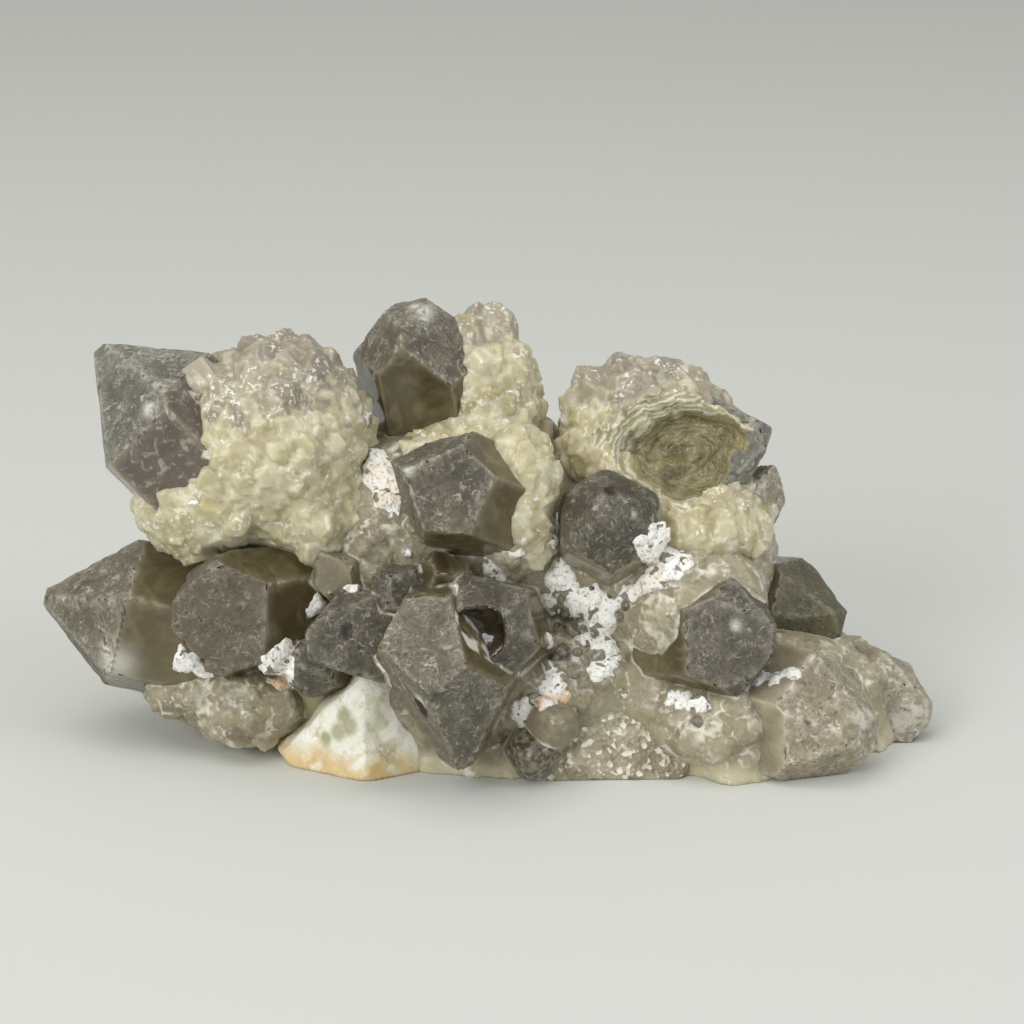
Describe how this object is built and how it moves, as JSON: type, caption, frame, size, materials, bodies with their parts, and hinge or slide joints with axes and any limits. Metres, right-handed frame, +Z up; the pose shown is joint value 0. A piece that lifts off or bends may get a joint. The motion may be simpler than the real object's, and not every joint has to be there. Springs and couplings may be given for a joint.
{
  "type": "pineapple quartz cluster",
  "caption": "Smoky quartz crystals with frosted six-sided heads standing out of crusts of small crystals on one common base, for a display or a shelf.",
  "frame": {"origin": "middle of the cluster's outer box in plan, on the plane of the flat it rests on", "axes": "+X to the right along the cluster's length, +Y to the back, +Z up"},
  "size_m": [0.1499, 0.0776, 0.0728],
  "materials": {
    "smoky_quartz": "frosted crystal heads, glassy side faces and a sparkling crust"
  },
  "bodies": {
    "root": {"quartz_cluster": "smoky_quartz"}
  },
  "joints": []
}
